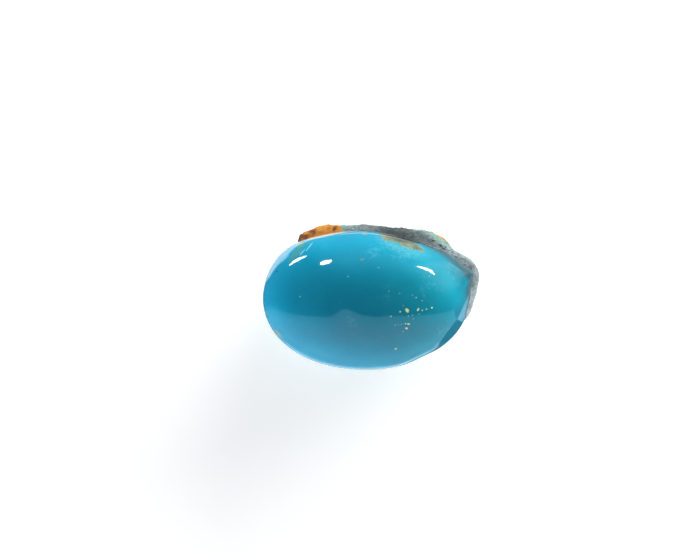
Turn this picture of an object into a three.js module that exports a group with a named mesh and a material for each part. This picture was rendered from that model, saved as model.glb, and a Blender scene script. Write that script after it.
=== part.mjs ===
// A semi-raw turquoise nugget: one natural stone whose front is ground and polished to an oval dome,
// while its back and part of its rim are left as rough grey host rock and brown iron crust.
// It lies on its back. Millimetres, +Z up through the dome, +X along the length, Z = 0 under the flat
// that is ground on the back.
//
// The surface is star-shaped about one point, the core, on the level where the cap is widest. A
// direction is given by its azimuth (round Z, from +X) and its elevation above that level, and each
// body below gives the distance from the core to its surface in that direction.

import * as THREE from 'three';
import { ParametricGeometry } from 'three/addons/geometries/ParametricGeometry.js';
import { mergeVertices } from 'three/addons/utils/BufferGeometryUtils.js';

// Polished cap
const CAP_LENGTH = 16.34;
const CAP_WIDTH = 10.75;
const CORE_HEIGHT = 2.6;
const DOME_RISE = 3.6;
const CAP_UNDERCUT = 2.4;
const CAP_POWER = 2.2;
const CAP_WAVE = { size: 4.2, depth: 0.03 };

// Where the cap's outline leaves the plain oval: azimuth and spread in degrees, height in millimetres
const CAP_BUMPS = [
  { azimuth: 27, spread: 10.5, height: 0.33 },
  { azimuth: -1, spread: 40, height: -0.29 },
  { azimuth: 64, spread: 24, height: -0.17 },
  { azimuth: 146, spread: 21, height: 0.39 },
  { azimuth: 180, spread: 25, height: -0.24 },
  { azimuth: -45, spread: 11, height: -0.13 },
];

// Corner of the cap's rim, which fades away up the dome
const CORNER = { azimuth: 14.3, spread: 5.2, height: 0.78, full: 5, top: 17 };

// Polished side facets: a belt round the lower right, a cone that bites into the dome's shoulder, and
// two flat ones on the right
const BELT_LEAN = 29;
const BELT_BITE = { azimuth: -18, spread: 11, height: 0.1 };
const FLAT_FACETS = [
  { azimuth: -9, lean: 38, depth: 0.13 },
  { azimuth: -13.5, lean: 27.5, depth: 0.14 },
];
const FACET_EDGE = 0.02;

// Rough back: it stands out from under the cap between two azimuths, and lies back elsewhere
const LEDGE_FROM = { azimuth: -11, fade: 7 };
const LEDGE_TO = { azimuth: 138.5, fade: 5 };
const LEDGE_FADE_BELOW = 0.7;
const LEDGE_OUT = 0.52;
const LEDGE_BACK = 0.3;
const LEDGE_BUMPS = [
  { azimuth: -5, spread: 7, height: -0.2 },
  { azimuth: 6, spread: 5, height: 0.14 },
  { azimuth: 14.3, spread: 6.5, height: 0.66 },
  { azimuth: 21.5, spread: 5, height: 0.27 },
  { azimuth: 47, spread: 8, height: 0.36 },
  { azimuth: 119, spread: 8, height: 0.15 },
];
const BACK_RISE = 1.0;
const BACK_DEPTH = 3.05;
const BACK_POWER = 3;
const JOIN_EDGE = 0.03;

// Lower lip of iron crust, which stands out further below the ledge
const LIPS = [
  { azimuth: 38, spread: 7, height: 0.52 },
  { azimuth: 56, spread: 13, height: 0.34 },
  { azimuth: 122, spread: 10, height: 0.1 },
];
const LIP_TOP = 1;
const LIP_FULL = -6;

// Lumps of the rough back: size of the largest, how far they stand out or in, and how many octaves
const LUMP_SIZE = 1.6;
const LUMP_DEPTH = 0.3;
const LUMP_OCTAVES = 3;
const LUMP_GROW = 20;

// Broken faces of the back: azimuth and elevation of each face's normal, and the depth below the core
// at which the face starts under the outline
const BREAKS = [
  { azimuth: -6, elevation: -36, depth: 0.5 },
  { azimuth: 58, elevation: -43, depth: 0.45 },
  { azimuth: 92, elevation: -24, depth: 0.35 },
  { azimuth: 128, elevation: -50, depth: 0.6 },
  { azimuth: 172, elevation: -40, depth: 0.6 },
  { azimuth: -128, elevation: -30, depth: 0.7 },
  { azimuth: -84, elevation: -44, depth: 0.9 },
  { azimuth: -50, elevation: -33, depth: 0.6 },
];
const BREAK_EDGE = 0.06;

// Facet counts: columns round the stone, then rows of the flat, the rough side, the rim and the dome
const COLUMNS = 104;
const FLAT_ROWS = 2;
const SIDE_ROWS = 19;
const RIM_ROWS = 9;
const DOME_ROWS = 16;
const RIM_TOP = 15;
const STEEPEST_SIDE = -18;

const UPRIGHT = Math.PI / 2;
const radians = THREE.MathUtils.degToRad;
const smoothstep = THREE.MathUtils.smoothstep;

// Degrees from one azimuth to another, the short way round.
function turnFrom(azimuth, start) {
  return THREE.MathUtils.euclideanModulo(azimuth - start + 180, 360) - 180;
}

// Sum of bell-shaped bumps at an azimuth in degrees.
function bumps(list, azimuth) {
  return list.reduce(
    (sum, b) => sum + b.height * Math.exp(-((turnFrom(azimuth, b.azimuth) / b.spread) ** 2)),
    0,
  );
}

// Smaller of two distances, with the corner between them rounded over about edge.
function softMin(a, b, edge) {
  const h = Math.max(edge - Math.abs(a - b), 0) / edge;
  return Math.min(a, b) - (h * h * edge) / 4;
}

function softMax(a, b, edge) {
  return -softMin(-a, -b, edge);
}

// Distance from the core to a superellipse of half-width across and half-height up.
function superellipse(elevation, across, up, power) {
  const x = Math.abs(Math.cos(elevation)) / across;
  const z = Math.abs(Math.sin(elevation)) / up;
  return (x ** power + z ** power) ** (-1 / power);
}

// Distance from the core to the tangent plane of that superellipse whose normal rises by lean.
function tangentDistance(lean, across, up, power) {
  const dual = power / (power - 1);
  return ((across * Math.cos(lean)) ** dual + (up * Math.abs(Math.sin(lean))) ** dual) ** (1 / dual);
}

// Repeatable value from -1 to 1 for each corner of a lattice.
function latticeValue(i, j, k) {
  const s = Math.sin(i * 127.1 + j * 311.7 + k * 74.7) * 43758.5453;
  return 2 * (s - Math.floor(s)) - 1;
}

// Lattice values blended smoothly between the eight corners round a point.
function smoothNoise(x, y, z) {
  const [i, j, k] = [x, y, z].map(Math.floor);
  const [u, v, w] = [x - i, y - j, z - k].map((t) => t * t * (3 - 2 * t));
  let sum = 0;
  for (const a of [0, 1])
    for (const b of [0, 1])
      for (const c of [0, 1]) {
        const weight = (a ? u : 1 - u) * (b ? v : 1 - v) * (c ? w : 1 - w);
        sum += weight * latticeValue(i + a, j + b, k + c);
      }
  return sum;
}

// Lumps on lumps: each octave is under half the size and half the depth of the one before.
function lumps(p, size, octaves) {
  let sum = 0;
  for (let n = 0; n < octaves; n++) {
    const scale = 2.1 ** n / size;
    const shift = 17.3 * n;
    sum += smoothNoise(p.x * scale + shift, p.y * scale, p.z * scale) / 2 ** n;
  }
  return sum;
}

function ovalRadius(azimuth) {
  const t = radians(azimuth);
  const oval = 1 / Math.hypot(Math.cos(t) / (CAP_LENGTH / 2), Math.sin(t) / (CAP_WIDTH / 2));
  return oval + bumps(CAP_BUMPS, azimuth);
}

// Outline of the cap: the oval, and the corner of its rim, which fades away up the dome.
function capRadius(azimuth, elevation = 0) {
  const corner = CORNER.height * Math.exp(-Math.abs(turnFrom(azimuth, CORNER.azimuth)) / CORNER.spread);
  const fade = 1 - smoothstep(elevation, radians(CORNER.full), radians(CORNER.top));
  return ovalRadius(azimuth) + corner * fade;
}

function direction(azimuth, elevation) {
  const t = radians(azimuth);
  return new THREE.Vector3(
    Math.cos(elevation) * Math.cos(t),
    Math.cos(elevation) * Math.sin(t),
    Math.sin(elevation),
  );
}

// Flat facets as planes, each a depth inside the dome's tangent plane.
const facetPlanes = FLAT_FACETS.map(({ azimuth, lean, depth }) => {
  const outward = Array.from({ length: 360 }, (_, a) => ovalRadius(a) * Math.cos(radians(a - azimuth)));
  const tangent = tangentDistance(radians(lean), Math.max(...outward), DOME_RISE, CAP_POWER);
  return { normal: direction(azimuth, radians(lean)), reach: tangent - depth };
});

// The cap is a superellipse in each upright section, cut by the cone of the belt and by the flat facets.
function capDistance(azimuth, elevation) {
  const across = capRadius(azimuth, elevation);
  const up = elevation > 0 ? DOME_RISE : CAP_UNDERCUT;
  let dome = superellipse(elevation, across, up, CAP_POWER);
  const lean = radians(BELT_LEAN);
  const reach = tangentDistance(lean, across, DOME_RISE, CAP_POWER) - bumps([BELT_BITE], azimuth);
  const facing = Math.cos(elevation - lean);
  if (facing > 0.2) dome = softMin(dome, reach / facing, FACET_EDGE);
  const toward = direction(azimuth, elevation);
  for (const { normal, reach: flatReach } of facetPlanes) {
    const flatFacing = toward.dot(normal);
    if (flatFacing > 0.2) dome = softMin(dome, flatReach / flatFacing, FACET_EDGE);
  }
  return dome;
}

// How far the rough back stands out past the cap's outline, negative where it lies back.
function ledge(azimuth, elevation) {
  const wider = LEDGE_FADE_BELOW * THREE.MathUtils.radToDeg(Math.max(-elevation, 0));
  const reached = (end) => {
    const fade = end.fade + wider;
    return smoothstep(turnFrom(azimuth, end.azimuth), -fade, fade);
  };
  const nearEnd = turnFrom(azimuth, (LEDGE_FROM.azimuth + LEDGE_TO.azimuth) / 2) > 0;
  const share = nearEnd ? 1 - reached(LEDGE_TO) : reached(LEDGE_FROM);
  return THREE.MathUtils.lerp(-LEDGE_BACK, LEDGE_OUT + bumps(LEDGE_BUMPS, azimuth), share);
}

function backRadius(azimuth, elevation) {
  const low = 1 - smoothstep(elevation, radians(LIP_FULL), radians(LIP_TOP));
  return ovalRadius(azimuth) + ledge(azimuth, elevation) + low * bumps(LIPS, azimuth);
}

// The rough back before its lumps and broken faces.
function backDistance(azimuth, elevation) {
  const up = elevation > 0 ? BACK_RISE : BACK_DEPTH;
  return superellipse(elevation, backRadius(azimuth, elevation), up, BACK_POWER);
}

// Broken faces as planes: the normal of each, and its distance from the core.
const breakPlanes = BREAKS.map(({ azimuth, elevation, depth }) => {
  const lean = radians(elevation);
  const outline = Array.from({ length: 360 }, (_, a) => backRadius(a, radians(LIP_FULL)));
  const outward = outline.map((radius, a) => radius * Math.cos(radians(a - azimuth)));
  const reach = Math.max(...outward) * Math.cos(lean) - depth * Math.sin(lean);
  return { normal: direction(azimuth, lean), reach };
});

// The rough back with its broken faces, and with lumps that grow in from nothing below the cap's edge.
function roughDistance(azimuth, elevation, capEdge) {
  let distance = backDistance(azimuth, elevation);
  const toward = direction(azimuth, elevation);
  for (const { normal, reach } of breakPlanes) {
    const facing = toward.dot(normal);
    if (facing > 0.2) distance = softMin(distance, reach / facing, BREAK_EDGE);
  }
  const below = smoothstep(capEdge - elevation, 0, radians(LUMP_GROW));
  const at = toward.multiplyScalar(distance);
  return distance + below * LUMP_DEPTH * lumps(at, LUMP_SIZE, LUMP_OCTAVES);
}

// Elevation between two where a test stops being true, found by halving.
function lastElevation(test, from, to) {
  for (let n = 0; n < 30; n++) {
    const middle = (from + to) / 2;
    if (test(middle)) from = middle;
    else to = middle;
  }
  return from;
}

// Elevations at which the plain back meets the cap, and the rough back meets the table.
function edges(azimuth) {
  const underCap = (elevation) => backDistance(azimuth, elevation) > capDistance(azimuth, elevation);
  const cap = lastElevation(underCap, radians(-40), radians(40));
  const underTable = (elevation) =>
    roughDistance(azimuth, elevation, cap) * -Math.sin(elevation) > CORE_HEIGHT;
  return { cap, flat: lastElevation(underTable, -UPRIGHT, radians(STEEPEST_SIDE)) };
}

const edgesByAzimuth = new Map();

function edgesAt(azimuth) {
  if (!edgesByAzimuth.has(azimuth)) edgesByAzimuth.set(azimuth, edges(azimuth));
  return edgesByAzimuth.get(azimuth);
}

// Rows step evenly out over the flat, then in elevation up the rough side, the rim and the dome.
function rowElevation(row, { cap, flat }) {
  if (row <= FLAT_ROWS) return -Math.atan2(CORE_HEIGHT * FLAT_ROWS, (CORE_HEIGHT / Math.tan(-flat)) * row);
  const aboveFlat = row - FLAT_ROWS;
  if (aboveFlat <= SIDE_ROWS) return THREE.MathUtils.lerp(flat, cap, aboveFlat / SIDE_ROWS);
  const aboveEdge = aboveFlat - SIDE_ROWS;
  if (aboveEdge <= RIM_ROWS) return THREE.MathUtils.lerp(cap, radians(RIM_TOP), aboveEdge / RIM_ROWS);
  return THREE.MathUtils.lerp(radians(RIM_TOP), UPRIGHT, (aboveEdge - RIM_ROWS) / DOME_ROWS);
}

function surfacePoint(azimuth, row, target) {
  const edge = edgesAt(azimuth);
  const elevation = rowElevation(row, edge);
  const toward = direction(azimuth, elevation);
  let cap = capDistance(azimuth, elevation);
  cap += CAP_WAVE.depth * lumps(toward.clone().multiplyScalar(cap), CAP_WAVE.size, 1);
  let distance = softMax(cap, roughDistance(azimuth, elevation, edge.cap), JOIN_EDGE);
  if (elevation < 0) distance = Math.min(distance, CORE_HEIGHT / -toward.z);
  target.copy(toward).multiplyScalar(distance);
  target.z = Math.max(target.z + CORE_HEIGHT, 0);
  return target;
}

function nuggetGeometry() {
  const rows = FLAT_ROWS + SIDE_ROWS + RIM_ROWS + DOME_ROWS;
  const parametric = new ParametricGeometry(
    (u, v, target) => surfacePoint(360 * (u % 1), rows * v, target),
    COLUMNS,
    rows,
  );
  parametric.deleteAttribute('normal');
  parametric.deleteAttribute('uv');
  const geometry = mergeVertices(parametric, 1e-3);
  geometry.setIndex(withoutSlivers(geometry.index.array));
  geometry.computeVertexNormals();
  geometry.computeBoundingBox();
  const middle = geometry.boundingBox.getCenter(new THREE.Vector3());
  return geometry.translate(-middle.x, -middle.y, 0);
}

// At the two poles a row shrinks to one point, and half of its triangles go with it.
function withoutSlivers(index) {
  const kept = [];
  for (let n = 0; n < index.length; n += 3) {
    const [a, b, c] = index.slice(n, n + 3);
    if (a !== b && b !== c && c !== a) kept.push(a, b, c);
  }
  return kept;
}

const stone = new THREE.Mesh(
  nuggetGeometry(),
  new THREE.MeshStandardMaterial({ color: 0x1a8fae, roughness: 0.2, metalness: 0 }),
);
stone.name = 'turquoise_nugget';

const nugget = new THREE.Group();
nugget.add(stone);

export default nugget;
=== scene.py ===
"""A semi-raw turquoise nugget lying on its back: a polished dome of blue-green turquoise, with a rough ledge
of grey host rock, green chalk and brown iron crust along its upper and right rim."""

import math

import bpy
import numpy as np
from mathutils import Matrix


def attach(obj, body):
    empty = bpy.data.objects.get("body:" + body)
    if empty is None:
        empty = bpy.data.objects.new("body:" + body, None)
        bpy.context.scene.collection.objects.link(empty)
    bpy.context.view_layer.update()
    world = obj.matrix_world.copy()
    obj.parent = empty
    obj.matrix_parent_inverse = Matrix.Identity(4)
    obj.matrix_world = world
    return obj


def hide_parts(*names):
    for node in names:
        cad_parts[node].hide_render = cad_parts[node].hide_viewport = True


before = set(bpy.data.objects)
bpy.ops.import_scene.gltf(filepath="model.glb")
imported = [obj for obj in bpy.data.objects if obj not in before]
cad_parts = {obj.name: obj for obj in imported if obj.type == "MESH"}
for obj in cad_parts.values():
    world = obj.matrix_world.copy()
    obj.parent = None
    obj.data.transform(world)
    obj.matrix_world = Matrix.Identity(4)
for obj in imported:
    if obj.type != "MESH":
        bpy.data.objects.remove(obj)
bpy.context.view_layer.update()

NODE = "turquoise_nugget"
MM = 0.001

# The stone's shape, in millimetres and degrees, from nearly the same driving values as its solid.
# Azimuth turns round Z from +X, and elevation rises from the level of the core, where the cap is widest.
CAP_LENGTH = 16.34
CAP_WIDTH = 10.75
CORE_HEIGHT = 2.6
DOME_RISE = 3.6
CAP_UNDERCUT = 2.4
CAP_POWER = 2.2
CAP_WAVE_SIZE = 4.2
CAP_WAVE_DEPTH = 0.03

# Azimuth, spread and height of each place where the cap's outline leaves the plain oval
CAP_BUMPS = [
    (27, 10.5, 0.33),
    (-1, 40, -0.29),
    (64, 24, -0.17),
    (146, 21, 0.39),
    (180, 25, -0.24),
    (-45, 11, -0.13),
]

# Corner of the cap's rim, which fades away up the dome
CORNER_AZIMUTH = 14.3
CORNER_SPREAD = 5.2
CORNER_HEIGHT = 0.78
CORNER_FULL = 5
CORNER_TOP = 17
CORNER_EDGE = 1.6
CORNER_ROUND = 9

# Polished side facets: a belt round the lower right, with its lean and the azimuth, spread and depth of
# its bite, and two flat ones on the right, with the azimuth and lean of the normal and the depth of each.
# Their edges are rounded over FACET_EDGE, and the painted shade that darkens them sets in over the degrees
# clockwise from +X in FACET_FADE.
BELT_LEAN = 29
BELT_BITE = (-18, 11, 0.1)
FLAT_FACETS = [(-9, 38, 0.13), (-14.5, 27.5, 0.14)]
FACET_EDGE = 0.02
FACET_FADE = (-2, 9)

# Rough back: azimuth and fade of the ledge's two ends, and how far it stands out or lies back
LEDGE_FROM = (-11, 7)
LEDGE_TO = (138.5, 5)
LEDGE_FADE_BELOW = 0.7
LEDGE_OUT = 0.52
LEDGE_BACK = 0.3
LEDGE_BUMPS = [
    (-5, 7, -0.2),
    (6, 5, 0.14),
    (14.3, 6.5, 0.66),
    (21.5, 5, 0.27),
    (47, 8, 0.36),
    (119, 8, 0.15),
]
BACK_RISE = 1.0
BACK_DEPTH = 3.05
BACK_POWER = 3
JOIN_EDGE = 0.03

# Lower lip of iron crust: azimuth, spread and height of its bumps
LIPS = [
    (38, 7, 0.52),
    (56, 13, 0.34),
    (122, 10, 0.1),
]
LIP_TOP = 1
LIP_FULL = -6

LUMP_SIZE = 1.6
LUMP_DEPTH = 0.3
LUMP_OCTAVES = 5
LUMP_GROW = 20

# Broken faces of the back: azimuth and elevation of the normal, and depth below the core where it starts
BREAKS = [
    (-6, -36, 0.5),
    (58, -43, 0.45),
    (92, -24, 0.35),
    (128, -50, 0.6),
    (172, -40, 0.6),
    (-128, -30, 0.7),
    (-84, -44, 0.9),
    (-50, -33, 0.6),
]
BREAK_EDGE = 0.06

# A plane cuts only the directions whose cosine with its normal is above this
LEAST_FACING = 0.2

# Detail finer than the solid: grains of the rough surface and knobs of the crust
GRAIN_SIZE = 0.17
GRAIN_DEPTH = 0.035
GRAIN_GROW = 2.5
KNOB_SIZE = 0.6
KNOB_DEPTH = 0.1
KNOB_LEVEL = 0.6

# Zones that follow the rim: azimuth, spread and strength, or width in millimetres seen from above. The
# fades are in degrees of elevation, up for the host rock and down for the crust and chalk of the lip.
# The wedge's ends widen its painted reflection into painted shade along the rim
WEDGE_END = [(60, 15, 0.42), (5, 8, 0.34)]
# Painted shadow that darkens the wedge and the host rock towards the top
PAINTED_SHADOW = [(66, 22, 1.05)]
# Painted highlight: a pale line along the rim at the upper left, where the polished edge rounds over
RIM_HIGHLIGHT = [(128, 17, 0.13)]
CRUST_END = [(124, 19, 1.25)]
CRUST_LIP = [(44, 9, 1.4)]
CHALK_LIP = [(44, 13, 1.7)]
HOST_LEDGE = [(10, 26, 1.2), (58, 34, 1.2)]
# Painted sheen that lightens the host rock at the right end
RIGHT_SHEEN = [(-3, 12, 1.0)]
CRUST_LIP_FADE = (2, 4.5)
CHALK_LIP_FADE = (-1, 2.5)
HOST_LEDGE_FADE = (-26, -8)

# Share of host rock everywhere, how much more of it there is on the ledge, and how much less on the lip
HOST_SHARE = 0.45
HOST_MORE = 0.55
HOST_LESS = 0.9

# Millimetres over which one zone gives way to the next, and the fainter, wider band of painted shade
# before the wedge
ROUGH_EDGE = (-0.004, 0.012)
FACET_CUT = (0.002, 0.02)
RIM_HIGHLIGHT_EDGE = (-0.02, 0.03)
WEDGE_EDGE = (-0.26, 0.2)
WEDGE_SHADE = (-1.1, 0)
WEDGE_SHADE_SHARE = 0.22

# How much narrower than its bumps the wedge's two ends are, how far inside the rim the wedge may reach,
# how far inside everything under the cap counts as, and how close to the table counts as ground flat
WEDGE_END_CUT = 0.1
WEDGE_REACH = 3
UNDER_CAP = 9
GROUND_NEAR = 0.004

# Marks on the dome in millimetres from the stone's middle: x, y, radius, then how much longer than wide
# and the turn in degrees of the long ones
WISPS = [
    (0.04, 3.51, 0.32, 2.2, 10),
    (1.17, 0.17, 0.2, 2.6, 80),
    (3.83, 0.32, 0.2, 3.4, -50),
    (4.6, 0.9, 0.2, 4.0, -35),
    (-1.48, -1.8, 0.35, 1.3, 0),
    (1.9, 3.1, 0.3, 2.0, -20),
    (6.3, 1.9, 0.3, 3.0, -60),
    (5.6, -2.6, 0.5, 1.4, 0),
]
CLOUDS = [
    (4.2, 1.5, 1.0, 1.5, -40),
    (5.8, 0.7, 0.9, 1.4, -70),
]
KHAKI_PATCH = [
    (1.55, 4.55, 0.3, 3.0, -14),
    (2.65, 4.2, 0.38, 2.4, -24),
    (3.45, 3.86, 0.22, 2.8, -34),
]
KHAKI_CORE = [(3.45, 3.78, 0.15, 1.8, -25), (2.9, 4.42, 0.1, 5.0, -24)]
KHAKI_HALO = [(2.35, 3.95, 0.62, 3.1, -22)]
TAN_SPECKS = [
    (-0.73, 2.87, 0.11),
    (-0.48, 4.9, 0.12, 1.8, 0),
    (-7.14, -2.82, 0.16, 2.2, -50),
    (1.84, -3.93, 0.07),
]
OLIVE_VEINS = [
    (-5.5, 3.8, 0.1, 7.0, 50),
    (-6.0, 3.15, 0.08, 7.0, 62),
    (-5.35, 4.0, 0.16, 2.0, 30),
    (-5.6, 3.3, 0.05, 9.0, 52),
]
# Painted highlights: short white glints on the polish at the upper left
PAINTED_GLINTS = [(-4.67, 3.93, 0.024, 12, 50), (-5.27, 3.42, 0.022, 14, 49), (-4.9, 3.62, 0.016, 9, 52)]
DARK_DOT = [(-7.22, 1.97, 0.07)]
PALE_SPECKS = [
    (3.39, -0.03, 0.06),
    (3.85, -0.26, 0.045),
    (3.11, 0.17, 0.04),
    (1.33, 0.47, 0.045),
    (2.13, 0.29, 0.04),
    (2.41, -0.64, 0.04),
    (2.81, -1.42, 0.05),
    (3.11, -1.36, 0.05),
    (3.19, -1.63, 0.045),
    (1.79, -2.12, 0.045),
    (2.03, -2.1, 0.04),
    (2.27, -2.06, 0.04),
    (2.41, -2.61, 0.04),
    (-5.43, 0.04, 0.05),
    (-1.78, 1.57, 0.045),
    (3.6, -1.28, 0.04),
    (0.55, 2.25, 0.04),
    (4.4, 1.6, 0.04),
    (6.72, -2.2, 0.045),
    (6.5, -2.45, 0.035),
]
HOST_PITS = [
    (5.32, 3.95, 0.09, 2.2, -40),
    (5.55, 3.72, 0.07, 2.4, -35),
    (5.72, 3.86, 0.05, 2.0, -20),
    (6.25, 3.45, 0.04, 3.0, -40),
    (4.75, 4.35, 0.05, 3.0, -25),
    (7.7, 2.2, 0.05, 2.4, -60),
    (8.0, 0.7, 0.04, 2.0, 80),
]
CRUST_DARK_END = [(-5.9, 4.1, 1.1)]
GOLD_SPECKS = [
    (2.7, -0.99, 0.12, 1.4, -55),
    (3.54, -0.93, 0.07, 1.7, 60),
    (2.17, -1.1, 0.055),
    (1.47, -1.45, 0.05),
    (4.18, -0.9, 0.045),
    (3.85, -1.0, 0.045),
    (4.59, -0.8, 0.055),
    (2.58, -2.01, 0.05),
    (2.81, -2.03, 0.065, 1.5, 10),
    (2.66, -2.36, 0.07, 1.5, -10),
    (1.84, -3.93, 0.05),
]

# Wedge at the right end of the dome, painted grey as the ledge's mirror image in the polish: azimuth in
# which its inner border faces, how far out from the core that is, the point along the border that is
# farthest out, and how much the border bends
WEDGE_FACING = 46
WEDGE_OUT = 6.65
WEDGE_MIDDLE = -3.4
WEDGE_BEND = 0.055

# Mesh rows and columns; columns stand closer together round the ledge, by this many degrees of shift.
# The cap's edge and the flat's edge are searched for between these elevations, halving the gap each time.
COLUMNS = 480
FLAT_ROWS = 8
SIDE_ROWS = 92
RIM_ROWS = 44
DOME_ROWS = 56
RIM_TOP = 15
CROWDED_AZIMUTH = 63
CROWDING = 24
CAP_EDGE_BETWEEN = (-40, 40)
FLAT_EDGE_BETWEEN = (-90, -18)
HALVINGS = 30

# Photograph: frame size, scale at the core's level, and the point where the middle of the stone is
PHOTO_WIDTH = 700
PHOTO_HEIGHT = 560
PIXELS_PER_MM = 13.0
STONE_X_PIXEL = 371.2
STONE_Y_PIXEL = 297.0
LENS = 150
SENSOR = 36

# Studio: radius of the floor and distance of the glowing shapes in metres, how strongly they glow, their
# number of corners, and how pointed the shapes are
FLOOR_RADIUS = 0.9
FLOOR_GLOW = 0.6
FLOOR_CORNERS = 96
LAMP_DISTANCE = 0.8
LAMP_GLOW = 30
LAMP_POINT = 1.5
LAMP_CORNERS = 24


def smoothstep(value, low, high):
    """Rises from 0 at low to 1 at high along 3t^2 - 2t^3."""
    t = np.clip((value - low) / (high - low), 0, 1)
    return t * t * (3 - 2 * t)


def mix(a, b, share):
    return a + (b - a) * share


def turn_from(azimuth, start):
    """Degrees from one azimuth to another, the short way round."""
    return (azimuth - start + 180) % 360 - 180


def bumps(places, azimuth):
    """Sum of bells exp(-(turn / spread)^2), each times its height."""
    return sum(height * np.exp(-((turn_from(azimuth, at) / spread) ** 2)) for at, spread, height in places)


def soft_min(a, b, edge):
    """Smaller of two distances, with the corner between them rounded over about edge."""
    h = np.maximum(edge - np.abs(a - b), 0) / edge
    return np.minimum(a, b) - h * h * edge / 4


def soft_max(a, b, edge):
    return -soft_min(-a, -b, edge)


def superellipse(elevation, across, up, power):
    """Distance (|cos e / across|^power + |sin e / up|^power)^(-1 / power) from the core."""
    x = np.abs(np.cos(elevation)) / across
    z = np.abs(np.sin(elevation)) / up
    return (x**power + z**power) ** (-1 / power)


def tangent_distance(lean, across, up, power):
    """Distance from the core to the superellipse's tangent plane whose normal rises by lean."""
    dual = power / (power - 1)
    return ((across * np.cos(lean)) ** dual + (up * np.abs(np.sin(lean))) ** dual) ** (1 / dual)


def lattice_value(i, j, k):
    """Repeatable value from -1 to 1: the fraction of a large multiple of a sine."""
    s = np.sin(i * 127.1 + j * 311.7 + k * 74.7) * 43758.5453
    return 2 * (s - np.floor(s)) - 1


def smooth_noise(x, y, z):
    """Lattice values blended along 3t^2 - 2t^3 between the eight corners round each point."""
    corner = [np.floor(a) for a in (x, y, z)]
    share = [a - c for a, c in zip((x, y, z), corner)]
    u, v, w = [t * t * (3 - 2 * t) for t in share]
    total = 0
    for a in (0, 1):
        for b in (0, 1):
            for c in (0, 1):
                weight = (u if a else 1 - u) * (v if b else 1 - v) * (w if c else 1 - w)
                total = total + weight * lattice_value(corner[0] + a, corner[1] + b, corner[2] + c)
    return total


def lumps(points, size, octaves):
    """Sum of octaves of smooth noise, each 2.1 times finer and half as deep as the one before."""
    x, y, z = points
    total = 0
    for n in range(octaves):
        scale = 2.1**n / size
        total = total + smooth_noise(x * scale + 17.3 * n, y * scale, z * scale) / 2**n
    return total


def direction(azimuth, elevation):
    t = np.radians(azimuth)
    flat = np.cos(elevation)
    return np.array([flat * np.cos(t), flat * np.sin(t), np.sin(elevation) + 0 * t])


def oval_radius(azimuth):
    """Oval 1 / hypot(cos a / half length, sin a / half width), plus its bumps."""
    t = np.radians(azimuth)
    oval = 1 / np.hypot(np.cos(t) / (CAP_LENGTH / 2), np.sin(t) / (CAP_WIDTH / 2))
    return oval + bumps(CAP_BUMPS, azimuth)


def cap_radius(azimuth, elevation):
    """The oval, plus a corner exp(-|turn| / spread) that fades away and gets rounder up the dome."""
    faded = smoothstep(elevation, math.radians(CORNER_FULL), math.radians(CORNER_TOP))
    edge = CORNER_EDGE + CORNER_ROUND * faded
    turn = np.hypot(turn_from(azimuth, CORNER_AZIMUTH), edge) - edge
    return oval_radius(azimuth) + CORNER_HEIGHT * np.exp(-turn / CORNER_SPREAD) * (1 - faded)


def flat_facet_planes():
    """Normal of each flat facet, and its distance from the core: a depth inside the dome's tangent plane."""
    around = np.arange(-180.0, 180.0)
    planes = []
    for azimuth, degrees, depth in FLAT_FACETS:
        lean = math.radians(degrees)
        outward = np.max(oval_radius(around) * np.cos(np.radians(around - azimuth)))
        reach = tangent_distance(lean, outward, DOME_RISE, CAP_POWER) - depth
        planes.append((direction(azimuth, lean), reach))
    return planes


FACET_PLANES = flat_facet_planes()


def uncut_distance(azimuth, elevation):
    """Superellipse in each upright section of the cap."""
    up = np.where(elevation > 0, DOME_RISE, CAP_UNDERCUT)
    return superellipse(elevation, cap_radius(azimuth, elevation), up, CAP_POWER)


def cap_distance(azimuth, elevation):
    """The uncut cap, less what the cone of the belt and the flat facets cut off."""
    dome = uncut_distance(azimuth, elevation)
    lean = math.radians(BELT_LEAN)
    belt = tangent_distance(lean, cap_radius(azimuth, elevation), DOME_RISE, CAP_POWER)
    belt = belt - bumps([BELT_BITE], azimuth)
    toward = direction(azimuth, elevation)
    cuts = [(np.cos(elevation - lean), belt)]
    cuts += [(np.tensordot(normal, toward, 1), reach) for normal, reach in FACET_PLANES]
    for facing, reach in cuts:
        cut = soft_min(dome, reach / np.maximum(facing, LEAST_FACING), FACET_EDGE)
        dome = np.where(facing > LEAST_FACING, cut, dome)
    return dome


def ledge(azimuth, elevation):
    """How far the rough back stands out past the cap's outline, negative where it lies back."""
    wider = LEDGE_FADE_BELOW * np.degrees(np.maximum(-elevation, 0))

    def reached(at, fade):
        return smoothstep(turn_from(azimuth, at), -fade - wider, fade + wider)

    near_end = turn_from(azimuth, (LEDGE_FROM[0] + LEDGE_TO[0]) / 2) > 0
    share = np.where(near_end, 1 - reached(*LEDGE_TO), reached(*LEDGE_FROM))
    return mix(-LEDGE_BACK, LEDGE_OUT + bumps(LEDGE_BUMPS, azimuth), share)


def back_radius(azimuth, elevation):
    low = 1 - smoothstep(elevation, math.radians(LIP_FULL), math.radians(LIP_TOP))
    return oval_radius(azimuth) + ledge(azimuth, elevation) + low * bumps(LIPS, azimuth)


def back_distance(azimuth, elevation):
    up = np.where(elevation > 0, BACK_RISE, BACK_DEPTH)
    return superellipse(elevation, back_radius(azimuth, elevation), up, BACK_POWER)


def break_planes():
    """Normal of each broken face, and its distance from the core: as far out as the outline reaches."""
    around = np.arange(360.0)
    outline = back_radius(around, np.full(360, math.radians(LIP_FULL)))
    planes = []
    for azimuth, elevation, depth in BREAKS:
        lean = math.radians(elevation)
        outward = np.max(outline * np.cos(np.radians(around - azimuth)))
        planes.append((direction(azimuth, lean), outward * math.cos(lean) - depth * math.sin(lean)))
    return planes


PLANES = break_planes()


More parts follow.
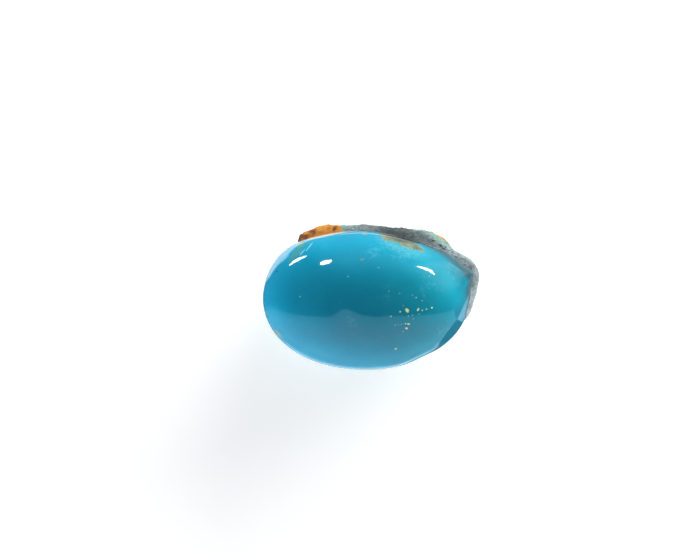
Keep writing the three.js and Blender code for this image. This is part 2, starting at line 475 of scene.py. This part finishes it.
def rough_distance(azimuth, elevation, cap_edge):
    """The back, cut by its broken faces, with lumps that grow in below the cap's edge."""
    distance = back_distance(azimuth, elevation)
    toward = direction(azimuth, elevation)
    for normal, reach in PLANES:
        facing = np.tensordot(normal, toward, 1)
        cut = soft_min(distance, reach / np.maximum(facing, LEAST_FACING), BREAK_EDGE)
        distance = np.where(facing > LEAST_FACING, cut, distance)
    below = smoothstep(cap_edge - elevation, 0, math.radians(LUMP_GROW))
    return distance + below * LUMP_DEPTH * lumps(toward * distance, LUMP_SIZE, LUMP_OCTAVES)


def last_elevation(test, between):
    """Elevation between two in degrees, for every column at once, where a test stops being true."""
    low, high = [np.full(COLUMNS, math.radians(degrees)) for degrees in between]
    for _ in range(HALVINGS):
        middle = (low + high) / 2
        passed = test(middle)
        low, high = np.where(passed, middle, low), np.where(passed, high, middle)
    return low


def grid_angles():
    """Azimuth of each column, crowded round the ledge by one sine, and elevation of each row and column.
    Rows step out over the flat, then up the rough side, the rim and the dome."""
    even = np.arange(COLUMNS) * 360 / COLUMNS
    azimuth = even - CROWDING * np.sin(np.radians(even - CROWDED_AZIMUTH))
    cap = last_elevation(
        lambda e: back_distance(azimuth, e) > cap_distance(azimuth, e),
        CAP_EDGE_BETWEEN,
    )
    flat = last_elevation(
        lambda e: rough_distance(azimuth, e, cap) * -np.sin(e) > CORE_HEIGHT,
        FLAT_EDGE_BETWEEN,
    )
    reach = CORE_HEIGHT / np.tan(-flat)
    rows = [-np.arctan2(CORE_HEIGHT, reach * n / FLAT_ROWS) for n in range(1, FLAT_ROWS + 1)]
    rows += [mix(flat, cap, n / SIDE_ROWS) for n in range(1, SIDE_ROWS + 1)]
    top = math.radians(RIM_TOP)
    rows += [mix(cap, top, n / RIM_ROWS) for n in range(1, RIM_ROWS + 1)]
    rows += [np.full(COLUMNS, mix(top, math.pi / 2, n / DOME_ROWS)) for n in range(1, DOME_ROWS)]
    return azimuth, np.array(rows), cap


def crust_share(azimuth, elevation):
    """Where the rough surface is iron crust: the knobbly end of the ledge, and the lip's lower edge."""
    lip = bumps(CRUST_LIP, azimuth) * smoothstep(-elevation, *np.radians(CRUST_LIP_FADE))
    return np.clip(bumps(CRUST_END, azimuth) + lip, 0, 1)


def host_share(azimuth, elevation):
    """Where the rough surface is grey host rock: the ledge, but less of it on the lip and on the back."""
    side = bumps(HOST_LEDGE, azimuth) * smoothstep(elevation, *np.radians(HOST_LEDGE_FADE))
    lip = bumps(CHALK_LIP, azimuth) * smoothstep(-elevation, *np.radians(CHALK_LIP_FADE))
    return np.clip(HOST_SHARE + HOST_MORE * side - HOST_LESS * np.minimum(lip, 1), 0, 1)


def past_wedge_border(points):
    """Millimetres outside the border: out + bend * (along - middle)^2 less than the way outward."""
    t = math.radians(WEDGE_FACING)
    outward = points[0] * math.cos(t) + points[1] * math.sin(t)
    along = points[1] * math.cos(t) - points[0] * math.sin(t)
    return outward - WEDGE_OUT + WEDGE_BEND * (along - WEDGE_MIDDLE) ** 2


def stone_points():
    """Every grid point in millimetres from the core, with its masks."""
    azimuth, elevation, cap_edge = grid_angles()
    azimuth = np.broadcast_to(azimuth, elevation.shape)
    cap_edge = np.broadcast_to(cap_edge, elevation.shape)
    toward = direction(azimuth, elevation)
    cap = cap_distance(azimuth, elevation)
    cut_off = uncut_distance(azimuth, elevation) - cap
    cap = cap + CAP_WAVE_DEPTH * lumps(toward * cap, CAP_WAVE_SIZE, 1)
    rough = rough_distance(azimuth, elevation, cap_edge)
    grown = smoothstep(cap_edge - elevation, 0, math.radians(GRAIN_GROW))
    grain = lumps(toward * rough, GRAIN_SIZE, 1)
    crust = crust_share(azimuth, elevation)
    knobs = 1 - np.abs(lumps(toward * rough, KNOB_SIZE, 2))
    rough = rough + grown * (GRAIN_DEPTH * grain + KNOB_DEPTH * crust * (knobs - KNOB_LEVEL))
    distance = soft_max(cap, rough, JOIN_EDGE)
    table = CORE_HEIGHT / np.maximum(-np.sin(elevation), 1e-6)
    ground = (elevation < 0) & (distance > table - GROUND_NEAR)
    distance = np.where(elevation < 0, np.minimum(distance, table), distance)
    points = toward * distance
    points[2] = np.maximum(points[2] + CORE_HEIGHT, 0)
    top_edge = np.maximum(cap_edge, 0)
    rim = cap_distance(azimuth, top_edge) * np.cos(top_edge)
    inside = rim - cap * np.cos(elevation) + UNDER_CAP * (elevation < np.minimum(cap_edge, 0))
    # Painted reflection and shade: the wedge is where the polish is painted grey as the ledge's mirror
    # image, with painted shade at its ends and in a fainter, wider band before it
    end = bumps(WEDGE_END, azimuth) - WEDGE_END_CUT - inside
    wedge = np.maximum(past_wedge_border(toward * cap), end)
    wedge_shade = smoothstep(wedge, *WEDGE_SHADE)
    # Painted shade in the hollows of the rough surface, deepest where the grains lie low
    hollow_shade = 0.5 - 0.35 * lumps(toward * rough, LUMP_SIZE / 4, 2) - grain * 0.2
    masks = {
        "rough": smoothstep(rough - cap, *ROUGH_EDGE),
        "wedge": mix(smoothstep(wedge, *WEDGE_EDGE), wedge_shade, WEDGE_SHADE_SHARE) * (inside < WEDGE_REACH),
        # painted shadow towards the top of the wedge and the ledge
        "painted_shadow": np.clip(bumps(PAINTED_SHADOW, azimuth), 0, 1),
        # painted shade on the facets
        "facet": smoothstep(cut_off, *FACET_CUT) * smoothstep(-turn_from(azimuth, 0), *FACET_FADE),
        # painted highlight along the rim at the upper left
        "rim_highlight": smoothstep(bumps(RIM_HIGHLIGHT, azimuth) - np.abs(inside), *RIM_HIGHLIGHT_EDGE),
        # painted sheen at the right end of the ledge
        "right_sheen": np.clip(bumps(RIGHT_SHEEN, azimuth), 0, 1),
        "host": host_share(azimuth, elevation),
        "ground": ground.astype(float),
        "crust": crust,
        "hollow_shade": np.clip(hollow_shade, 0, 1),
    }
    return points, masks


def grid_faces(rows, columns):
    """Quads between neighbouring rows and columns, closed round the seam, and fans at the two poles."""
    index = np.arange(rows * columns).reshape(rows, columns)
    beside = np.roll(index, -1, axis=1)
    quads = np.stack([index[:-1], beside[:-1], beside[1:], index[1:]], axis=-1).reshape(-1, 4)
    bottom, top = rows * columns, rows * columns + 1
    under = [(bottom, b, a) for a, b in zip(index[0].tolist(), beside[0].tolist())]
    over = [(a, b, top) for a, b in zip(index[-1].tolist(), beside[-1].tolist())]
    return quads.tolist() + under + over


def stone_mesh():
    """The whole stone as one closed grid, with a vertex at each pole, moved onto its solid's place."""
    points, masks = stone_points()
    rows, columns = points.shape[1:]
    flat = points.reshape(3, -1).T
    vertices = np.vstack([flat, [[0, 0, 0], [0, 0, points[2, -1].mean()]]])
    low, high = vertices.min(axis=0), vertices.max(axis=0)
    vertices = (vertices - [(low[0] + high[0]) / 2, (low[1] + high[1]) / 2, 0]) * MM
    mesh = bpy.data.meshes.new("nugget_surface")
    mesh.from_pydata(vertices.tolist(), [], grid_faces(rows, columns))
    for name, values in masks.items():
        pole_values = [values[0].mean(), values[-1].mean()]
        attribute = mesh.attributes.new(name, "FLOAT", "POINT")
        attribute.data.foreach_set("value", np.append(values.ravel(), pole_values))
    mesh.polygons.foreach_set("use_smooth", np.ones(len(mesh.polygons), dtype=bool))
    mesh.update()
    return mesh


class Value:
    """An output of a shader node. Arithmetic on it adds Math nodes."""

    def __init__(self, shader, socket):
        self.shader = shader
        self.socket = socket

    def math(self, operation, *others):
        return self.shader.node("ShaderNodeMath", {"operation": operation}, dict(enumerate([self, *others])))

    def __add__(self, other):
        return self.math("ADD", other)

    def __mul__(self, other):
        return self.math("MULTIPLY", other)

    def __sub__(self, other):
        return self.math("SUBTRACT", other)

    def __rsub__(self, other):
        return self * -1 + other

    __radd__ = __add__
    __rmul__ = __mul__

    def __neg__(self):
        return self * -1

    def above(self, low, high):
        """Smooth step from 0 at low to 1 at high."""
        sockets = {"Value": self, "From Min": low, "From Max": high}
        return self.shader.node("ShaderNodeMapRange", {"interpolation_type": "SMOOTHSTEP"}, sockets)


class Shader:
    """The node tree of a material or a world, with one method that adds any node."""

    def __init__(self, owner):
        owner.use_nodes = True
        self.owner = owner
        self.tree = owner.node_tree
        self.tree.nodes.clear()

    def node(self, kind, settings=None, sockets=None, output=0):
        """Adds a node, sets its settings first and then its sockets, and returns one of its outputs."""
        made = self.tree.nodes.new(kind)
        for name, value in (settings or {}).items():
            setattr(made, name, value)
        for name, value in (sockets or {}).items():
            if isinstance(value, Value):
                self.tree.links.new(value.socket, made.inputs[name])
            else:
                made.inputs[name].default_value = value
        return Value(self, made.outputs[output])

    def attribute(self, name):
        return self.node("ShaderNodeAttribute", {"attribute_name": name}, output="Fac")

    def millimetres(self):
        """Object coordinates in millimetres."""
        place = self.node("ShaderNodeTexCoord", output="Object")
        return self.node("ShaderNodeVectorMath", {"operation": "SCALE"}, {0: place, "Scale": 1 / MM})

    def noise(self, place, size, detail, roughness):
        """Noise from about 0 to 1 with lumps of a size in millimetres."""
        sockets = {"Vector": place, "Scale": 1 / size, "Detail": detail, "Roughness": roughness}
        return self.node("ShaderNodeTexNoise", {}, sockets)

    def moved(self, place, offset):
        return self.node("ShaderNodeVectorMath", {"operation": "ADD"}, {0: place, 1: offset})

    def stirred(self, place, size, depth):
        """The place shifted by up to about half of depth, so that round spots get ragged outlines."""
        stir = self.node("ShaderNodeTexNoise", {}, {"Vector": place, "Scale": 1 / size}, output="Color")
        centred = self.moved(stir, (-0.5, -0.5, -0.5))
        settings = {"operation": "MULTIPLY_ADD"}
        return self.node("ShaderNodeVectorMath", settings, {0: centred, 1: (depth,) * 3, 2: place})

    def spot(self, place, x, y, radius, soft, longer=1, turn=0):
        """1 inside a round or long spot seen from above, falling to 0 over a soft share of its radius."""
        sockets = {
            "Vector": place,
            "Location": (x, y, 0),
            "Rotation": (0, 0, math.radians(turn)),
            "Scale": (radius * longer, radius, 1000),
        }
        unit = self.node("ShaderNodeMapping", {"vector_type": "TEXTURE"}, sockets)
        away = self.node("ShaderNodeVectorMath", {"operation": "LENGTH"}, {0: unit}, output="Value")
        return away.above(1 + soft / 2, 1 - soft / 2)

    def spots(self, place, marks, soft):
        """The strongest of several spots."""
        total = self.spot(place, *marks[0][:3], soft, *marks[0][3:])
        for x, y, radius, *shape in marks[1:]:
            total = total.math("MAXIMUM", self.spot(place, x, y, radius, soft, *shape))
        return total

    def bump(self, height, depth):
        """Normals bent by a height from 0 to 1 that stands for a depth in millimetres."""
        return self.node("ShaderNodeBump", {}, {"Height": height, "Strength": 1.0, "Distance": depth * MM})

    def blend(self, first, second, share):
        """First colour where share is 0, second where it is 1."""
        sockets = {"Factor": share, 6: first, 7: second}
        return self.node("ShaderNodeMix", {"data_type": "RGBA"}, sockets, output=2)

    def finish(self, kind, sockets, output="ShaderNodeOutputMaterial"):
        """Adds the shader of a kind, joins it to the output, and returns the material or the world."""
        surface = self.node(kind, {}, sockets)
        end = self.tree.nodes.new(output)
        self.tree.links.new(surface.socket, end.inputs["Surface"])
        return self.owner


def colour(red, green, blue):
    return (red, green, blue, 1.0)


def polished_turquoise(shader, place):
    """Blue-green turquoise, greener towards the right, with pale clouds, fine mottling and wisps."""
    deep = colour(0.005, 0.208, 0.33)
    green = colour(0.007, 0.238, 0.335)
    pale = colour(0.02, 0.40, 0.54)
    milky = colour(0.16, 0.56, 0.66)
    across = shader.node("ShaderNodeSeparateXYZ", {}, {0: place})
    base = shader.blend(deep, green, across.above(-3, 7))
    broad = shader.noise(place, 2.4, 4.0, 0.55).above(0.42, 0.78)
    base = shader.blend(base, pale, broad * 0.16)
    clouds = shader.spots(shader.stirred(place, 0.8, 0.8), CLOUDS, 1.5)
    base = shader.blend(base, pale, clouds * 0.22)
    fine = shader.noise(shader.moved(place, (3, 8, 1)), 0.22, 3.0, 0.7).above(0.56, 0.72)
    base = shader.blend(base, pale, fine * 0.16)
    wisps = shader.spots(shader.stirred(place, 0.5, 1.3), WISPS, 1.2)
    broken = shader.noise(place, 0.35, 4.0, 0.7).above(0.4, 0.7)
    return shader.blend(base, milky, wisps * broken * 0.22)


def khaki_patch(shader, place, base, grains):
    """Tan patch of matrix with a green halo and a dark core, and single tan specks."""
    green = colour(0.09, 0.36, 0.42)
    dark = colour(0.035, 0.045, 0.025)
    khaki = shader.blend(colour(0.10, 0.115, 0.06), colour(0.22, 0.235, 0.145), grains.above(0.36, 0.6))
    tan = colour(0.19, 0.25, 0.14)
    rough_edge = shader.stirred(place, 0.28, 0.42)
    halo = shader.spots(shader.stirred(place, 0.4, 0.8), KHAKI_HALO, 0.9)
    base = shader.blend(base, green, halo * grains.above(0.35, 0.6) * 0.7)
    base = shader.blend(base, khaki, shader.spots(rough_edge, KHAKI_PATCH, 0.35) * 0.93)
    base = shader.blend(base, dark, shader.spots(rough_edge, KHAKI_CORE, 0.7) * 0.5)
    specks = shader.spots(rough_edge, TAN_SPECKS, 0.8)
    return shader.blend(base, tan, specks * grains.above(0.3, 0.6) * 0.8)


def dome_marks(shader, place, base):
    """The tan patch, olive veins, painted highlights of short glints, a dark dot, and pale and gold specks
    over the turquoise.
    """
    olive = colour(0.09, 0.20, 0.09)
    glint_white = colour(0.36, 0.52, 0.56)
    dark = colour(0.005, 0.05, 0.06)
    pale = colour(0.34, 0.64, 0.52)
    gold = colour(0.78, 0.86, 0.40)
    grains = shader.noise(place, 0.12, 3.0, 0.75)
    base = khaki_patch(shader, place, base, grains)
    veins = shader.spots(shader.stirred(place, 0.3, 0.3), OLIVE_VEINS, 0.8)
    base = shader.blend(base, olive, veins * grains.above(0.25, 0.5) * 0.85)
    # Painted highlights: short white glints
    base = shader.blend(base, glint_white, shader.spots(place, PAINTED_GLINTS, 0.9) * 0.8)
    base = shader.blend(base, dark, shader.spots(place, DARK_DOT, 0.6) * 0.8)
    base = shader.blend(base, pale, shader.spots(place, PALE_SPECKS, 0.9) * 0.65)
    speck_edge = shader.stirred(place, 0.09, 0.07)
    return shader.blend(base, gold, shader.spots(speck_edge, GOLD_SPECKS, 0.7) * 0.95)


def polish_colour(shader, place):
    """The dome with its marks, with painted shade on the facets, then the wedge at the right, a painted
    reflection of the grey ledge with painted shade and shadow, and a pale line painted along the rim at the
    upper left as a highlight."""
    facet_shade_blue = colour(0.014, 0.165, 0.255)
    mirrored_ledge_grey = colour(0.036, 0.075, 0.095)
    wedge_shadow_black = colour(0.014, 0.02, 0.022)
    rim_highlight_white = colour(0.42, 0.46, 0.46)
    base = dome_marks(shader, place, polished_turquoise(shader, place))
    # Painted shade: the facets are darkened towards a deeper blue
    base = shader.blend(base, facet_shade_blue, shader.attribute("facet") * 0.9)
    # Painted shadow darkens the wedge towards the top
    wedge = shader.blend(mirrored_ledge_grey, wedge_shadow_black, shader.attribute("painted_shadow"))
    # Painted reflection: the ledge's grey mirrored in the polish, with painted shade
    base = shader.blend(base, wedge, shader.attribute("wedge") * 0.92)
    # Painted highlight: a pale line along the rim at the upper left
    return shader.blend(base, rim_highlight_white, shader.attribute("rim_highlight") * 0.85)


def host_rock(shader, place):
    """Grey, faintly green rock of dark, middle and pale grains, with black pits."""
    shade = colour(0.105, 0.142, 0.152)
    middle = colour(0.165, 0.21, 0.222)
    pale = colour(0.30, 0.36, 0.385)
    dark = colour(0.02, 0.03, 0.032)
    black = colour(0.008, 0.01, 0.01)
    coarse = shader.noise(place, 0.45, 3.0, 0.6).above(0.36, 0.64)
    along = {"Vector": place, "Rotation": (0, 0, math.radians(35)), "Scale": (0.5, 1, 1)}
    grains = shader.noise(shader.node("ShaderNodeMapping", {}, along), 0.12, 4.0, 0.8)
    base = shader.blend(shade, middle, coarse)
    base = shader.blend(base, pale, grains.above(0.50, 0.60) * 0.8)
    base = shader.blend(base, dark, grains.above(0.45, 0.36) * 0.75)
    pits = shader.spots(shader.stirred(place, 0.2, 0.25), HOST_PITS, 0.8)
    return shader.blend(base, black, pits * 0.9)


def chalk(shader, place):
    """Pale green chalky turquoise, bluer in places."""
    green = colour(0.035, 0.18, 0.165)
    bluer = colour(0.09, 0.25, 0.22)
    pale = colour(0.21, 0.35, 0.31)
    patches = shader.noise(shader.moved(place, (1, 4, 2)), 0.7, 4.0, 0.6).above(0.35, 0.65)
    grains = shader.noise(place, 0.16, 3.0, 0.7).above(0.35, 0.65)
    return shader.blend(shader.blend(green, bluer, patches), pale, grains * 0.4)


def iron_crust(shader, place):
    """Orange limonite, from dark red-brown to ochre, darkest at the end of the ledge, with cream grains."""
    brown = colour(0.13, 0.032, 0.002)
    orange = colour(0.44, 0.165, 0.008)
    ochre = colour(0.56, 0.30, 0.035)
    cream = colour(0.60, 0.48, 0.27)
    dark_end = shader.spots(place, CRUST_DARK_END, 1.6)
    patches = shader.noise(shader.moved(place, (7, 1, 3)), 0.9, 3.0, 0.55) - dark_end * 0.3
    grains = shader.noise(shader.moved(place, (2, 6, 4)), 0.11, 2.0, 0.6).above(0.68, 0.73)
    base = shader.blend(brown, orange, patches.above(0.30, 0.46))
    base = shader.blend(base, ochre, patches.above(0.48, 0.66) * 0.8)
    return shader.blend(base, cream, grains * 0.8)


def matrix_web(shader, place, size, wide, thin):
    """Lines where noise passes through its middle value, from 0 at wide to 1 at thin on either side."""
    return (shader.noise(place, size, 5.0, 0.6) - 0.5).math("ABSOLUTE").above(wide, thin)


def ground_flat(shader, place):
    """Sawn and ground turquoise, matt, with grey patches and a web of brown matrix."""
    blue = colour(0.045, 0.30, 0.36)
    pale = colour(0.13, 0.42, 0.44)
    grey = colour(0.20, 0.22, 0.20)
    brown = colour(0.13, 0.07, 0.03)
    patches = shader.noise(shader.moved(place, (9, 5, 0)), 1.1, 4.0, 0.6)
    base = shader.blend(blue, pale, patches.above(0.35, 0.65))
    base = shader.blend(base, grey, patches.above(0.62, 0.68) * 0.8)
    web = matrix_web(shader, shader.stirred(place, 0.9, 1.0), 1.5, 0.028, 0.006)
    return shader.blend(base, brown, web * 0.85)


def raw_colour(shader, place, ragged, is_crust):
    """The rough side: chalk, host rock darkened towards the top by painted shadow and lightened at the right
    by painted sheen, brown webs, iron crust, painted shade in the hollows and the ground flat."""
    shadow = colour(0.018, 0.024, 0.024)
    sheen_pale_blue = colour(0.48, 0.57, 0.63)
    brown = colour(0.16, 0.08, 0.03)
    hollow_shade_dark = colour(0.02, 0.018, 0.014)
    host = shader.attribute("host")
    is_host = (host + (ragged - 0.5) * 0.9).above(0.48, 0.54)
    # Painted shadow darkens the host rock towards the top
    rock = shader.blend(host_rock(shader, place), shadow, shader.attribute("painted_shadow") * 0.85)
    base = shader.blend(chalk(shader, place), rock, is_host)
    # Painted sheen lightens the host rock at the right end
    base = shader.blend(base, sheen_pale_blue, shader.attribute("right_sheen") * ragged.above(0.3, 0.6) * 0.7)
    base = shader.blend(base, brown, matrix_web(shader, place, 1.1, 0.03, 0.008) * 0.5 * (1 - host))
    base = shader.blend(base, iron_crust(shader, place), is_crust)
    # Painted shade in the hollows
    base = shader.blend(base, hollow_shade_dark, shader.attribute("hollow_shade").above(0.62, 1.0) * 0.5)
    return shader.blend(base, ground_flat(shader, place), shader.attribute("ground"))


def nugget_material():
    """All of the stone's minerals in one material, told apart by the masks of the mesh and ragged noise."""
    shader = Shader(bpy.data.materials.new("turquoise_and_host_rock"))
    place = shader.millimetres()
    ragged = shader.noise(place, 0.5, 5.0, 0.65)
    broad = shader.noise(shader.moved(place, (4, 4, 4)), 1.6, 2.0, 0.5)
    crust = shader.attribute("crust") + (ragged - 0.5) * 0.7 + (broad - 0.5) * 1.3
    is_crust = crust.above(0.52, 0.58)
    rough = shader.attribute("rough")
    raw = raw_colour(shader, place, ragged, is_crust)
    grit = shader.noise(place, 0.08, 3.0, 0.75) * rough * (1 - is_crust * 0.6)
    return shader.finish(
        "ShaderNodeBsdfPrincipled",
        {
            "Base Color": shader.blend(polish_colour(shader, place), raw, rough),
            "Metallic": rough * is_crust * 0.35,
            "Roughness": rough * (0.78 - is_crust * 0.2) + shader.attribute("wedge") * 0.16 + 0.045,
            "IOR": 1.61,
            "Normal": shader.bump(grit, 0.05),
        },
    )


def build_stone():
    stone = bpy.data.objects.new("nugget", stone_mesh())
    bpy.context.collection.objects.link(stone)
    stone.data.materials.append(nugget_material())
    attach(stone, "root")
    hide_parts(NODE)


def glowing_material(name, shade, strength):
    """A matt surface that gives off light."""
    shader = Shader(bpy.data.materials.new(name))
    sockets = {
        "Base Color": colour(*shade),
        "Roughness": 0.9,
        "Specular IOR Level": 0.1,
        "Emission Color": colour(*shade),
        "Emission Strength": strength,
    }
    return shader.finish("ShaderNodeBsdfPrincipled", sockets)


def stage_piece(name, vertices, material):
    """One flat face of the studio, which isn't part of the stone."""
    mesh = bpy.data.meshes.new(name)
    mesh.from_pydata(vertices, [], [tuple(range(len(vertices)))])
    mesh.materials.append(material)
    piece = bpy.data.objects.new(name, mesh)
    bpy.context.collection.objects.link(piece)
    return piece


def build_floor():
    """A round white table that glows evenly and makes no mirror image in the polish."""
    turns = [2 * math.pi * n / FLOOR_CORNERS for n in range(FLOOR_CORNERS)]
    vertices = [(FLOOR_RADIUS * math.cos(t), FLOOR_RADIUS * math.sin(t), 0) for t in turns]
    material = glowing_material("floor_table", (0.9, 0.9, 0.9), FLOOR_GLOW)
    floor = stage_piece("floor", vertices, material)
    floor.visible_glossy = False


def lamp_spot(name, azimuth, elevation, length, width, turn):
    """A glowing leaf shape that only shows as a highlight, far out in one direction from the stone."""
    toward = direction(azimuth, math.radians(elevation))
    side = np.array([-math.sin(math.radians(azimuth)), math.cos(math.radians(azimuth)), 0])
    up = np.cross(toward, side)
    along = side * math.cos(math.radians(turn)) + up * math.sin(math.radians(turn))
    across = np.cross(toward, along)
    vertices = []
    for n in range(LAMP_CORNERS):
        t = 2 * math.pi * n / LAMP_CORNERS
        taper = abs(math.sin(t)) ** LAMP_POINT * math.copysign(1, math.sin(t))
        corner = toward * LAMP_DISTANCE + along * length / 2 * math.cos(t) + across * width / 2 * taper
        vertices.append(tuple(corner))
    piece = stage_piece(name, vertices, glowing_material(name, (1, 1, 1), LAMP_GLOW))
    piece.visible_camera = False
    piece.visible_diffuse = False
    piece.visible_shadow = False


def soft_light(name, azimuth, elevation, distance, width, height, power, shade):
    """An area light that faces the stone and makes no highlight of its own."""
    light = bpy.data.lights.new(name, "AREA")
    light.shape = "RECTANGLE"
    light.size = width
    light.size_y = height
    light.energy = power
    light.color = shade
    holder = bpy.data.objects.new(name, light)
    away = direction(azimuth, math.radians(elevation)) * distance
    holder.location = away
    holder.rotation_mode = "QUATERNION"
    holder.rotation_quaternion = holder.location.to_track_quat("Z", "Y")
    holder.visible_glossy = False
    holder.visible_camera = False
    bpy.context.collection.objects.link(holder)


def build_camera():
    """Looks straight down, with the stone as large and as far off the middle as in the photograph."""
    data = bpy.data.cameras.new("camera")
    data.lens = LENS
    data.sensor_width = SENSOR
    width = PHOTO_WIDTH / PIXELS_PER_MM * MM
    camera = bpy.data.objects.new("camera", data)
    camera.location = (
        (PHOTO_WIDTH / 2 - STONE_X_PIXEL) / PIXELS_PER_MM * MM,
        (STONE_Y_PIXEL - PHOTO_HEIGHT / 2) / PIXELS_PER_MM * MM,
        CORE_HEIGHT * MM + width * LENS / SENSOR,
    )
    bpy.context.collection.objects.link(camera)
    bpy.context.scene.camera = camera


def sweep_height(x, y, z):
    """Above 0 on the near side of the room, with a second card standing out of its edge."""
    across = x.math("DIVIDE", z.math("MAXIMUM", 0.05)) + 0.155
    second_card = (across * across * -100).math("EXPONENT") * 0.15 * z
    return -y - z.math("MAXIMUM", 0) * 0.25 - x.math("ABSOLUTE") * 0.18 + second_card


def crease_cards(x, y, z):
    """A dark card at the right, which the belt mirrors, and a bright one beside it for the belt's crease."""
    past_crease = x * 0.638 + y * 0.095 - z * 0.764 - 0.698
    nearer = -y - x * 0.4
    dark = past_crease.above(0.01, 0.035) * nearer.above(0, 0.04) * x.above(0.1, 0.2)
    end = (-y - x * 0.5).above(0.402, 0.416).math("MAXIMUM", past_crease.above(0.02, 0))
    bright = past_crease.above(-0.055, 0) * end * nearer.above(0, 0.2) * x.above(0.1, 0.2) * 1.4
    return dark, bright


def rim_card(x, y, z):
    """A bright card far down on the near side, which lines the dome's lower rim, and how blue it is."""
    down = -z
    sides = (x * 0.85 - y).above(-0.05, 0.22) * (-y - x * 1.6).above(-0.02, 0.14)
    blue = down.above(0.52, 0.64) * down.above(0.92, 0.7) * sides * 0.45
    return down.above(0.5, 0.88) * sides * 0.72, blue


def left_card(x, y, z):
    """A bright card below the horizon at the far left, dimmer further down."""
    down = -z
    card = (y * 0.41 - x * 0.91).above(0.03, 0.1) * (y + x * 0.5).above(-0.14, -0.11)
    card = card * x.above(-0.785, -0.765) * y.above(0.72, 0.7) * down.above(0.18, 0.24)
    return card * (2.6 - down.above(0.55, 0.95) * 1.4)


def right_card(x, y, z):
    """A card below the horizon at the right, which the lower flat facet mirrors."""
    down = -z
    card = down.above(0.5, 0.56) * down.above(0.68, 0.62)
    return card * (-y - x * 0.04).above(0, 0.06) * (y + x * 0.42).above(0, 0.04)


def mirrored_room(x, y, z):
    """How bright the room is that the polish mirrors in each direction, and how blue: a white sweep on
    the near side with a bluish edge, a dim wall to the upper right, dim light from the far side, and
    cards below the horizon. It is dark straight down."""
    down = -z
    near = sweep_height(x, y, z)
    dark_card, crease = crease_cards(x, y, z)
    rim, rim_blue = rim_card(x, y, z)
    fall_off = (1 - down.above(0, 0.7) * 0.45) * (near.above(0, 0.3) * 0.32 + 0.65)
    sweep = near.above(0, 0.008) * fall_off * (1 - dark_card)
    wall = (x * 0.706 + y * 0.552 + z * 0.444).above(0.885, 0.975)
    far = (y - z * 0.5).above(0, 0.4) * (x + 0.5).above(0, 0.4)
    cards = left_card(x, y, z) + right_card(x, y, z) + crease + rim
    not_under = down.above(0.99, 0.93) * 0.75 + 0.25
    strength = (sweep * 0.9 + wall * 0.7 + far * 0.2 + cards + 0.04) * not_under
    return strength, near.above(0.45, 0.0) * sweep + crease * 0.12 + rim_blue


def horizon_light(x, y, z):
    """Light for everything but mirror images: a low band all round, stronger at the lower left and weaker
    at the lower right."""
    band = z.above(0.3, 0.04)
    left = (x * -0.707 - y * 0.707).above(-0.45, 0.55)
    right = (x * 0.866 - y * 0.5).above(0.4, 1)
    return band * (left * 10.5 + 7) * (1 - right * 0.55) + 0.03


def studio_world():
    """A white background for the camera, the room for mirror images, and the low band for the rest."""
    white = colour(0.96, 1.0, 1.06)
    blue = colour(0.6, 1.6, 2.2)
    shader = Shader(bpy.data.worlds.new("studio"))
    toward = shader.node("ShaderNodeTexCoord", output="Generated")
    split = shader.node("ShaderNodeSeparateXYZ", {}, {0: toward})
    x, y, z = [Value(shader, split.socket.node.outputs[n]) for n in range(3)]
    ray = shader.node("ShaderNodeLightPath", output="Is Camera Ray")
    seen, glossy = ray, Value(shader, ray.socket.node.outputs["Is Glossy Ray"])
    matt = 1 - (seen + glossy)
    mirrored, blueness = mirrored_room(x, y, z)
    strength = seen * 0.95 + glossy * mirrored + matt * horizon_light(x, y, z)
    sockets = {"Color": shader.blend(white, blue, glossy * blueness), "Strength": strength}
    bpy.context.scene.world = shader.finish("ShaderNodeBackground", sockets, "ShaderNodeOutputWorld")


def build_light():
    studio_world()
    lamp_spot("highlight_left", azimuth=132, elevation=17.5, length=0.31, width=0.085, turn=-12)
    lamp_spot("highlight_middle", azimuth=112.5, elevation=42.5, length=0.16, width=0.08, turn=30)
    lamp_spot("highlight_right", azimuth=46.5, elevation=37.3, length=0.44, width=0.06, turn=-4)
    soft_light(
        "key",
        azimuth=52,
        elevation=11,
        distance=0.6,
        width=0.6,
        height=0.14,
        power=8.1,
        shade=(1.0, 1.0, 0.94),
    )
    bpy.context.scene.view_settings.view_transform = "Standard"


build_camera()
build_stone()
build_floor()
build_light()
